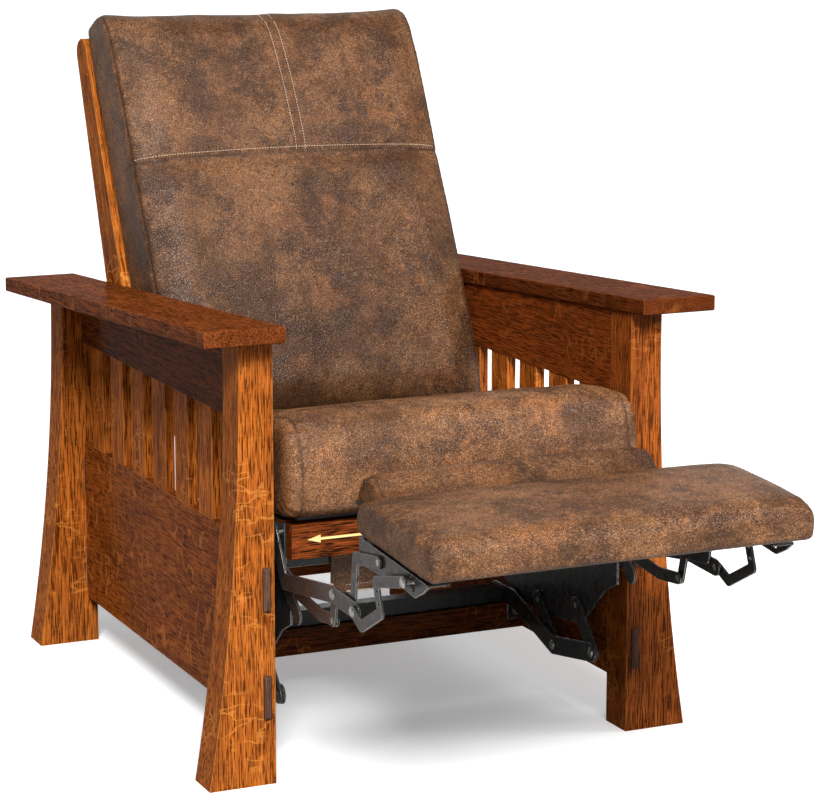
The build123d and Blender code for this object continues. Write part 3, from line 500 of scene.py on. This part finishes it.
def blown(piece, cap, hold, voxel):
    """Remesh a cushion evenly, blow it up as cloth, and smooth it.

    A point's limit is cap times hold(places), which is 0 where a seam or a board holds the cover
    and 1 where it is free. It moves by its limit times the hyperbolic tangent of its movement as
    cloth over its limit.
    """
    frames = 20
    applied(piece, "REMESH", mode="VOXEL", voxel_size=voxel, use_smooth_shade=True)
    before = points_of(piece.data)
    cloth = piece.modifiers.new("cloth", "CLOTH")
    cloth.settings.use_pressure = True
    cloth.settings.uniform_pressure_force = 4.0
    cloth.settings.effector_weights.gravity = 0.0
    cloth.point_cache.frame_start = 1
    cloth.point_cache.frame_end = frames
    for step in range(1, frames + 1):
        scene.frame_set(step)
    moved = points_of(evaluated(piece)) - before
    piece.modifiers.clear()
    scene.frame_set(1)
    limit = cap * hold(before)
    far = np.linalg.norm(moved, axis=1)
    held = limit * np.tanh(far / np.maximum(limit, 1e-6)) / np.maximum(far, 1e-9)
    keep = np.where(far > 1e-9, held, 0)
    move_to(piece.data, before + moved * keep[:, None])
    applied(piece, "SMOOTH", factor=0.5, iterations=4)
    applied(piece, "SUBSURF", levels=1, render_levels=1)


def soft_step(value, low, high):
    """A smooth step from 0 at low to 1 at high."""
    share = np.clip((np.asarray(value, float) - low) / (high - low), 0, 1)
    return share * share * (3 - 2 * share)


def rumpled(piece, height, hold):
    """Lift a cover in slow swells, as worn leather lies over its filling.

    A swell is the product of a wave across and a wave along, each bent by the other, and 0.45 of
    a finer pair is added to it.
    """
    places, normals = points_of(piece.data), normals_of(piece.data)
    x, along, up = places.T
    swell = (np.sin(24 * x + 2.1 * np.sin(13 * along + 0.6) + 0.9)
             * np.sin(19 * along + 1.7 * np.sin(17 * x) + 7 * up))
    swell += 0.45 * (np.sin(61 * x + 2.3 * np.sin(29 * along))
                     * np.sin(47 * along + 1.1 * np.sin(38 * x) + 11 * up))
    move_to(piece.data, places + normals * (height * swell * hold(places))[:, None])


def seam(piece, far, along, depth, width, pucker=0.0, reach=0.014, pitch=0.011, dark=0.8):
    """Draw a cover in along a seam: far is each point's distance from it, along its place on it.

    The groove is depth times a bell curve of the distance, and beside it the cover puckers: a
    wave along the seam that dies away within reach. The piece's seam attribute keeps a narrower
    bell curve, scaled by dark, with which the cover's material paints shade into the groove.
    """
    places, normals = points_of(piece.data), normals_of(piece.data)
    bell = np.exp(-(far / width) ** 2)
    beside = np.exp(-(far / reach) ** 2) * (1 - np.exp(-(far / (0.35 * reach)) ** 2))
    wave = np.sin(2 * pi * along / pitch + 2.3 * np.sin(along * 37.0))
    ripple = pucker * wave * (0.6 + 0.4 * np.sin(along * 61.0)) * beside
    move_to(piece.data, places - normals * (depth * bell - ripple)[:, None])
    kept = piece.data.attributes.get("seam") or piece.data.attributes.new("seam", "FLOAT", "POINT")
    before = np.empty(len(places), np.float32)
    kept.data.foreach_get("value", before)
    # Painted shade in the groove, kept in the seam attribute for the cover's material.
    groove_shade = dark * np.exp(-(far / (0.7 * width)) ** 2)
    kept.data.foreach_set("value", np.maximum(before, groove_shade).astype(np.float32))


def settle(piece, place, angle):
    """Turn a finished mesh about X by an angle, and put its own origin at the place (y, z)."""
    turn, rise = cos(angle), sin(angle)
    x, along, up = points_of(piece.data).T
    y = place[0] + along * turn - up * rise
    z = place[1] + along * rise + up * turn
    move_to(piece.data, np.stack([x, y, z], axis=1))
    piece.data.shade_smooth()


# The front face of the legs, which places along the chair are measured from, in the CAD frame.
legs_front = -0.19105

# The seat, the back and the flap are clear of what they lie on by 0.3 mm.
clear = 0.0003
seat_slope = radians(8)
seat_front, rails_top = -0.045, 0.373
seat_half, seat_seam = 0.2625, 0.2440
seat_profile = [
    (0.034, 0.0015), (0.010, 0.014), (0.0005, 0.055), (0.002, 0.098), (0.014, 0.127),
    (0.040, 0.1405), (0.090, 0.1405), (0.150, 0.1365), (0.240, 0.1300), (0.330, 0.1235),
    (0.410, 0.1170), (0.452, 0.104), (0.470, 0.070), (0.466, 0.020), (0.445, 0.002), (0.330, 0.0),
    (0.200, 0.0), (0.090, 0.0),
]
seat = stuffed("seat_pad", seat_profile, seat_half, end_radius=0.018, crown=0.002, pull=0.001,
               pillow=(0.006, 0.050))


def seat_hold(p):
    """How free the cover of the seat is: held below and at its end seams."""
    return soft_step(p[:, 2], 0.004, 0.04) * soft_step(seat_half + 0.0015 - abs(p[:, 0]), 0.0, 0.04)


blown(seat, 0.0022, seat_hold, voxel=0.0062)
rumpled(seat, 0.0012, seat_hold)
x, along, up = points_of(seat.data).T
round_roll = 0.075 * np.arctan2(up - 0.07, 0.09 - along)
for end in (-1, 1):
    seam(seat, abs(end * x - seat_seam), round_roll, depth=0.0024, width=0.0028, pucker=0.0018,
         reach=0.018, pitch=0.014, dark=0.6)

# The cushion is shifted to the right, and its nose spreads a little over the ends of the roll.
seat_shift, spread_right, spread_left = 0.003, 0.0035, 0.0010
x, along, up = points_of(seat.data).T
nose = 1 - soft_step(along, 0.026, 0.046)
spread = np.where(x > 0, spread_right, -spread_left) * (x / seat_half) ** 2
move_to(seat.data, np.stack([x + seat_shift + nose * spread, along, up], axis=1))
seat.data.materials.append(seat_cover)
settle(seat, (legs_front + seat_front, rails_top + clear), -seat_slope)
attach(seat, "carriage")
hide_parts("seat_cushion")


# Back cushion: a pillowed front panel sewn along both sides to flat boxing, wrapped over the
# top and crossed by a seam, with a stitched band down the middle of its upper part. It lies on
# the slats between the posts.
def stitches(name, piece, route, towards, thick=0.00048):
    """A row of stitches laid on a cover: capsules along a route that is dropped onto it.

    A stitch is five rings of six points, at even steps of the route. A ring's radius is thick
    times its swell, and its middle stands off the cover by thick times its rise.
    """
    length, pitch = 0.0033, 0.0043
    swells = np.array([0.35, 0.9, 1.0, 0.9, 0.35])[:, None, None]
    rises = np.array([-0.6, 0.25, 0.45, 0.25, -0.6])[:, None]
    angles = np.arange(6)[:, None] * pi / 3
    route = np.array(route, float)
    reach = np.concatenate([[0], np.cumsum(np.linalg.norm(np.diff(route, axis=0), axis=1))])
    cover = BVHTree.FromPolygons([v.co for v in piece.data.vertices],
                                 [p.vertices for p in piece.data.polygons])
    towards = Vector(towards).normalized()

    def on_cover(at):
        """The place and normal of the cover under the route."""
        start = Vector([np.interp(at, reach, route[:, axis]) for axis in range(3)])
        return cover.ray_cast(start - towards * 0.06, towards)[:2]

    vertices, faces = [], []
    for at in np.arange(0, reach[-1] - length, pitch):
        found = [on_cover(at + length * share) for share in (0.0, 0.25, 0.5, 0.75, 1.0)]
        if any(hit is None for hit, _ in found):
            continue
        hits, normals = (np.array(values) for values in zip(*found))
        across = np.cross(hits[-1] - hits[0], normals[2])
        across /= np.linalg.norm(across)
        out = across * np.cos(angles) + normals[:, None] * np.sin(angles)
        rings = (hits + normals * thick * rises)[:, None] + out * thick * swells
        first = 30 * len(vertices)
        vertices.append(rings.reshape(-1, 3))
        faces += (ring_faces(5, 6) + first).tolist()
        faces += [list(range(first + 5, first - 1, -1)), list(range(first + 24, first + 30))]
    sewn = new_piece(name, np.concatenate(vertices), faces)
    sewn.data.materials.append(thread)
    outward(sewn)
    return sewn


side_seam = 0.2525
back_profile = [
    (0.010, 0.010), (0.003, 0.035), (0.003, 0.072), (0.016, 0.100), (0.048, 0.1145),
    (0.110, 0.1195), (0.200, 0.1225), (0.300, 0.1210), (0.390, 0.1165), (0.412, 0.1135),
    (0.434, 0.1155), (0.520, 0.1135), (0.590, 0.1080), (0.636, 0.0985), (0.661, 0.080),
    (0.6715, 0.054), (0.670, 0.022), (0.660, 0.001), (0.560, 0.0), (0.420, 0.0), (0.280, 0.0),
    (0.150, 0.0), (0.060, 0.0), (0.020, 0.0015),
]
back = stuffed("back_pad", back_profile, half_width=0.2570, end_radius=0.005, crown=0.005,
               pull=0.001, pillow=(0.013, 0.045), count=170)


def back_hold(p):
    """How free the cover of the back is: held at the boards, the side seams and the cross seam."""
    free = soft_step(p[:, 2], 0.006, 0.05) * soft_step(side_seam - abs(p[:, 0]), 0.0, 0.05)
    return free * (1 - 0.95 * np.exp(-((p[:, 1] - 0.413) / 0.02) ** 2))


def cross_line(x):
    """How far up the back the cross seam runs: a parabola that arches by 5.5 mm."""
    return 0.4120 + 0.0055 * (1 - (x / side_seam) ** 2)


def band_line(along):
    """Where the middle of the stitched band lies across the back: a straight, leaning line."""
    return 0.0162 - 0.026 * (along - 0.418)


blown(back, 0.007, back_hold, voxel=0.0064)
rumpled(back, 0.0010, back_hold)
x, along, up = points_of(back.data).T
front = soft_step(up, 0.055, 0.075)
seam(back, abs(along - cross_line(x)) + (1 - front), x, depth=0.0020, width=0.0020, pucker=0.0005,
     reach=0.012, pitch=0.016, dark=0.8)
round_top = soft_step(along, 0.60, 0.65)
for end in (-1, 1):
    rim = abs(end * x - side_seam) + (1 - np.maximum(front, round_top))
    seam(back, rim, along + up, depth=0.0016, width=0.0020, pucker=0.0011, reach=0.015,
         pitch=0.012, dark=0.8)
x, along, up = points_of(back.data).T
upper = (along > 0.420) & (up > 0.02)
band_half = 0.0075
for shift in (-band_half, 0.0, band_half):
    far = np.where(upper, abs(x - band_line(along) - shift), 1)
    seam(back, far, along, depth=0.0008, width=0.0026, dark=0.15)
back.data.materials.append(back_cover)

above_seam = 0.0067
route = [(x, cross_line(x) + above_seam, 0.2) for x in np.linspace(-0.2505, 0.2505, 60)]
sewn = [stitches("back_cross_stitches", back, route, (0, 0, -1))]
for index, shift in enumerate((-band_half, band_half)):
    route = [(band_line(t) + shift, t, 0.2) for t in np.linspace(0.420, 0.640, 40)]
    sewn.append(stitches("back_band_stitches_%d" % index, back, route, (0, 0, -1)))
    rim = [(0.0104 + shift, 0.675 + 0.034 * share, 0.126 - 0.046 * share)
           for share in np.linspace(0, 1, 12)]
    sewn.append(stitches("back_rim_stitches_%d" % index, back, rim, (0, -0.7, -0.7)))

# The foot of the cushion is shifted to the right, and the shift dies out 0.60 up the back. The
# back leans about its hinge, and the cushion stands on it before the slats and above the hinge.
foot_shift, shift_reach = 0.0085, 0.60
hinge_y, hinge_z = legs_front + 0.560, 0.330
before_hinge, above_hinge = 0.0334 + clear, 0.022
back_place = (hinge_y - before_hinge * cos(lean) + above_hinge * sin(lean),
              hinge_z + before_hinge * sin(lean) + above_hinge * cos(lean))
for piece in [back] + sewn:
    x, along, up = points_of(piece.data).T
    x = x + foot_shift * np.clip(1 - along / shift_reach, 0, 1)
    move_to(piece.data, np.stack([x, along, up], axis=1))
    settle(piece, back_place, pi / 2 - lean)
    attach(piece, "back")
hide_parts("back_cushion")


# Footrest pad: a firm slab with a soft front roll and square boxed ends, sewn at its corners. It
# lies on a plywood board, drawn in under the cover, with rounded corners and eased edges.
pad_half, pad_seam = 0.2672, 0.2640
pad_profile = [
    (0.0045, 0.0010), (0.0008, 0.010), (0.0008, 0.028), (0.0075, 0.0415), (0.026, 0.0490),
    (0.070, 0.0515), (0.130, 0.0512), (0.186, 0.0490), (0.2125, 0.0435), (0.2215, 0.028),
    (0.2210, 0.009), (0.214, 0.0006), (0.150, 0.0), (0.100, 0.0), (0.050, 0.0),
]
pad = stuffed("footrest_cushion", pad_profile, pad_half, end_radius=0.004, crown=0.002,
              pull=0.0005, pillow=(0.002, 0.030))


def pad_hold(p):
    """How free the cover of the footrest is: held below and at its ends."""
    return soft_step(p[:, 2], 0.003, 0.02) * soft_step(0.266 - abs(p[:, 0]), 0.0, 0.03)


blown(pad, 0.004, pad_hold, voxel=0.005)
rumpled(pad, 0.0009, pad_hold)
x, along, up = points_of(pad.data).T
front = soft_step(0.05 - along, 0.0, 0.02)
for end in (-1, 1):
    rim = abs(end * x - pad_seam) + 0.02 * (1 - front)
    seam(pad, rim, up - along, depth=0.0014, width=0.0022, pucker=0.0012, reach=0.015,
         pitch=0.010, dark=0.45)
pad.data.materials.append(footrest_cover)
pad_slope = 0.0719
pad_front = legs_front - 0.487 + 0.03 * sin(pad_slope)
settle(pad, (pad_front, 0.3924), pad_slope)
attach(pad, "footrest")
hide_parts("footrest_pad")


def board(name, half_width, rear, front, thick, radius):
    """A flat board: a rectangle with quarter-circle corners, its top at height zero.

    Four outlines lie one below the other. The top one and the bottom one are drawn in towards
    the middle, which eases the edges.
    """
    eased = 0.0012
    corners = ((half_width, rear, 1), (-half_width, rear, 1), (-half_width, front, -1),
               (half_width, front, -1))
    quarter = np.linspace(0, pi / 2, 7)
    rim = np.concatenate([
        np.stack([x - radius * np.sign(x) + radius * np.cos(quarter + turn * pi / 2),
                  y - radius * side + radius * np.sin(quarter + turn * pi / 2)], axis=1)
        for turn, (x, y, side) in enumerate(corners)])
    away = rim - (0.0, 0.5 * (rear + front))
    away /= np.linalg.norm(away, axis=1)[:, None]
    outlines = [np.column_stack([rim - inset * away, np.full(len(rim), -depth)])
                for inset, depth in ((eased, 0.0), (0.0, eased), (0.0, thick - eased),
                                     (eased, thick))]
    top = list(range(len(rim)))
    bottom = [3 * len(rim) + at for at in reversed(top)]
    faces = ring_faces(4, len(rim)).tolist() + [top, bottom]
    made = new_piece(name, np.concatenate(outlines), faces)
    outward(made)
    return made


base = board("footrest_base", half_width=0.2500, rear=0.219, front=0.050, thick=0.009, radius=0.012)
base.data.materials.append(plywood)
settle(base, (pad_front, 0.3920), pad_slope)
base.data.shade_flat()
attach(base, "footrest")
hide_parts("footrest_board")


# Flap pad: a small soft roll behind the footrest, thicker at its rear, with puckered ends. It is
# stapled round a board that hinges on the footrest.
flap_half, flap_seam = 0.2060, 0.1985
flap_profile = [
    (0.008, 0.001), (0.001, 0.007), (0.002, 0.013), (0.014, 0.0180), (0.040, 0.0220),
    (0.054, 0.0290), (0.066, 0.0390), (0.078, 0.0440), (0.091, 0.0430), (0.103, 0.0350),
    (0.113, 0.0220), (0.1180, 0.010), (0.115, 0.001), (0.105, 0.0), (0.070, 0.0),
]
flap = stuffed("flap_cushion", flap_profile, flap_half, end_radius=0.006, crown=0.001,
               pull=0.0005, pillow=(0.0015, 0.020), count=110)


def flap_hold(p):
    """How free the cover of the flap is: held below and at its ends."""
    return soft_step(p[:, 2], 0.003, 0.02) * soft_step(0.2055 - abs(p[:, 0]), 0.0, 0.025)


blown(flap, 0.003, flap_hold, voxel=0.005)
rumpled(flap, 0.0008, flap_hold)
x, along, up = points_of(flap.data).T
round_roll = 0.06 * np.arctan2(up - 0.02, along - 0.07)
for end in (-1, 1):
    seam(flap, abs(end * x - flap_seam), round_roll, depth=0.0016, width=0.0024, pucker=0.0014,
         reach=0.013, pitch=0.012, dark=0.6)
flap.data.materials.append(flap_cover)
settle(flap, (legs_front - 0.245, 0.412 + clear), 0.0)
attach(flap, "flap")
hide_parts("flap_pad")


# Webbing under the seat: eight woven straps, 50 mm wide, stretched over the seat box in two
# directions and stapled to its rails. Each passes over and under the ones that it meets.
dark_weave, pale_weave = (0.030, 0.026, 0.022, 1), (0.17, 0.145, 0.11, 1)
webbing, tree, shader, coords = new_material("webbing", Roughness=0.8)
weave = shader_node(tree, "TexWave", {"Vector": placed(tree, coords, turn=(0, 0, radians(45))),
                                      "Scale": 190.0, "Distortion": 0.6},
                    wave_type="BANDS", bands_direction="X").outputs["Fac"]
fuzz = maths(tree, "MULTIPLY", weave, noise(tree, coords, 900.0, 3.0))
wired(tree, shader, {"Base Color": mixed(tree, mapped(tree, fuzz, 0.1, 0.6), dark_weave,
                                         pale_weave)})
bumped(tree, shader, weave, 0.0003, 0.7)


def sheet_faces(rows, columns):
    """Faces of an open grid of points: each takes two neighbours on a row and two on the next."""
    at = np.arange((rows - 1) * columns).reshape(rows - 1, columns)[:, :-1].ravel()
    return np.stack([at, at + 1, at + columns + 1, at + columns], axis=1).tolist()


box_front, box_half = 0.019, 0.248
step_across, step_back = 0.124, 0.0945
strap_half, strap_thick = 0.025, 0.0012
weave_height, below_rails = 0.0007, 0.0016


def strap(name, middle, start, end, lengthwise, phase):
    """One strap from start to end, in the plane of the seat, which falls to the back.

    It weaves by the cosine of its place over the step between the straps that it crosses.
    """
    run = np.linspace(start, end, 97)
    side = np.linspace(middle - strap_half, middle + strap_half, 9)
    along, over = np.meshgrid(run, side)
    x, y = (over, along) if lengthwise else (along, over)
    step, first = ((step_back, box_front + 0.5 * step_back) if lengthwise
                   else (step_across, 0.5 * step_across))
    wave = weave_height * np.cos(pi * ((along - first) / step) + phase)
    z = rails_top - (y - seat_front) * np.tan(seat_slope) - below_rails + wave
    points = np.stack([x, y + legs_front, z], axis=-1).reshape(-1, 3)
    made = new_piece(name, points, sheet_faces(9, 97))
    applied(made, "SOLIDIFY", thickness=strap_thick, offset=0.0)
    outward(made)
    made.data.materials.append(webbing)
    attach(made, "carriage")
    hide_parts("seat_webbing")


for index in range(4):
    strap("seat_strap_%d" % index, (index + 0.5) * step_across - box_half, box_front, 0.397,
          True, pi * index)
    strap("cross_strap_%d" % index, box_front + (index + 0.5) * step_back, -box_half, box_half,
          False, pi * (index + 1))


# Skirt behind the front rail: a thin sheet of the footrest's cover, hung from the front tube, with
# soft waves that grow downwards, a row of stitches above its hem, and a pale cut edge along the
# bottom, whose corners are cut off.
half, cut_corner = 0.168, 0.014
top_edge, bottom_edge = 0.3048, 0.2440
skirt_face, skirt_thick = legs_front + 0.0507, 0.0016
across = np.linspace(-half, half, 121)
down = np.linspace(0, 1, 25)
grid_x, grid_d = np.meshgrid(across, down)
low_edge = bottom_edge + np.clip(abs(across) - (half - cut_corner), 0, cut_corner)
grid_z = top_edge + (low_edge[None, :] - top_edge) * grid_d
wave = 0.0011 * np.sin(grid_x * 31.0 + 0.7) + 0.0007 * np.sin(grid_x * 63.0 + 2.1)
sag = 0.0016 * grid_d + 0.0012 * np.sin(pi * grid_d)
grid_y = skirt_face - sag + wave * grid_d ** 1.5
grid = np.stack([grid_x, grid_y, grid_z], axis=-1)
skirt = new_piece("skirt", grid.reshape(-1, 3), sheet_faces(25, 121))
applied(skirt, "SOLIDIFY", thickness=skirt_thick, offset=0.0)
outward(skirt)
skirt.data.materials.append(footrest_cover)
skirt.data.shade_smooth()
hem_end, above_edge = half - 0.022, 0.009
route = [(x, skirt_face, bottom_edge + above_edge) for x in np.linspace(-hem_end, hem_end, 60)]
hem = stitches("skirt_stitches", skirt, route, (0, 1, 0), thick=0.0005)
curve = bpy.data.curves.new("skirt_edge", "CURVE")
curve.dimensions = "3D"
curve.bevel_depth = 0.0013
curve.bevel_resolution = 3
curve.materials.append(thread)
line = curve.splines.new("POLY")
line.points.add(len(across) - 1)
cut_edge = np.column_stack([grid[-1] - (0, 0, 0.0004), np.ones(len(across))])
line.points.foreach_set("co", cut_edge.ravel())
edge = bpy.data.objects.new("skirt_edge", curve)
scene.collection.objects.link(edge)
for piece in (skirt, hem, edge):
    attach(piece, "carriage")
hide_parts("seat_valance")


# Floor, light and camera: a pale floor under a dim sky that looks white to the camera, a soft sun
# from the front left, a tall lamp in front for the sheen on the back, and a weak lamp on the
# right. The camera was fitted to the oak frame.
floor_half = 60
floor = new_piece("floor", [(-floor_half, -floor_half, 0), (floor_half, -floor_half, 0),
                            (floor_half, floor_half, 0), (-floor_half, floor_half, 0)],
                  [(0, 1, 2, 3)])
pale, tree, shader, coords = new_material("floor", Roughness=0.8, Specular_IOR_Level=0.1,
                                          Emission_Color=grey(1.0))
ways = shader_node(tree, "LightPath").outputs
seen = maths(tree, "MAXIMUM", ways["Is Camera Ray"], ways["Is Glossy Ray"])
wired(tree, shader, {"Base Color": mixed(tree, seen, grey(0.34), grey(0.96)),
                     "Emission Strength": maths(tree, "MULTIPLY", ways["Is Camera Ray"], 0.30)})
floor.data.materials.append(pale)

# Glossy rays that head for the rear see a white wall, and the others see a dark room.
world = bpy.data.worlds.new("studio")
world.use_nodes = True
scene.world = world
tree = world.node_tree
backdrop = tree.nodes["Background"]
backdrop.inputs["Color"].default_value = grey(1.0)
ways = shader_node(tree, "LightPath").outputs
coords = shader_node(tree, "TexCoord").outputs["Generated"]
heading = shader_node(tree, "SeparateXYZ", {"Vector": coords}).outputs["Y"]
wall = mapped(tree, heading, 0.2, 0.8, 0.06, 1.0)
sky = mapped(tree, ways["Is Camera Ray"], 0.0, 1.0, 0.27, 1.0)
strength = maths(tree, "MAXIMUM", sky, maths(tree, "MULTIPLY", wall, ways["Is Glossy Ray"]))
tree.links.new(strength, backdrop.inputs["Strength"])


def lamp(name, kind, energy, place, target, **settings):
    """A light at a place that shines on a target."""
    light = bpy.data.lights.new(name, kind)
    light.energy = energy
    for key, value in settings.items():
        setattr(light, key, value)
    made = bpy.data.objects.new(name, light)
    made.location = place
    made.rotation_euler = (Vector(target) - Vector(place)).to_track_quat("-Z", "Y").to_euler()
    scene.collection.objects.link(made)


mid_chair = (0, 0.1, 0.6)
lamp("sun", "SUN", 3.9, (-0.28, -0.74, 0.62), (0, 0, 0), angle=radians(16))
lamp("sheen", "AREA", 60.0, (-0.16, -2.56, 2.39), mid_chair, shape="RECTANGLE", size=0.5,
     size_y=1.4)
lamp("right", "AREA", 25.0, (2.7, -1.0, 1.6), mid_chair, shape="RECTANGLE", size=0.9, size_y=1.8)

camera_data = bpy.data.cameras.new("camera")
camera_data.sensor_fit = "HORIZONTAL"
camera_data.sensor_width = 36.0
camera_data.lens = 117.87
camera = bpy.data.objects.new("camera", camera_data)
camera.location = (-1.55594, -3.43634, 1.21137)
camera.rotation_euler = (radians(78.9526), 0, radians(-24.602))
scene.collection.objects.link(camera)
scene.camera = camera
scene.view_settings.view_transform = "Standard"
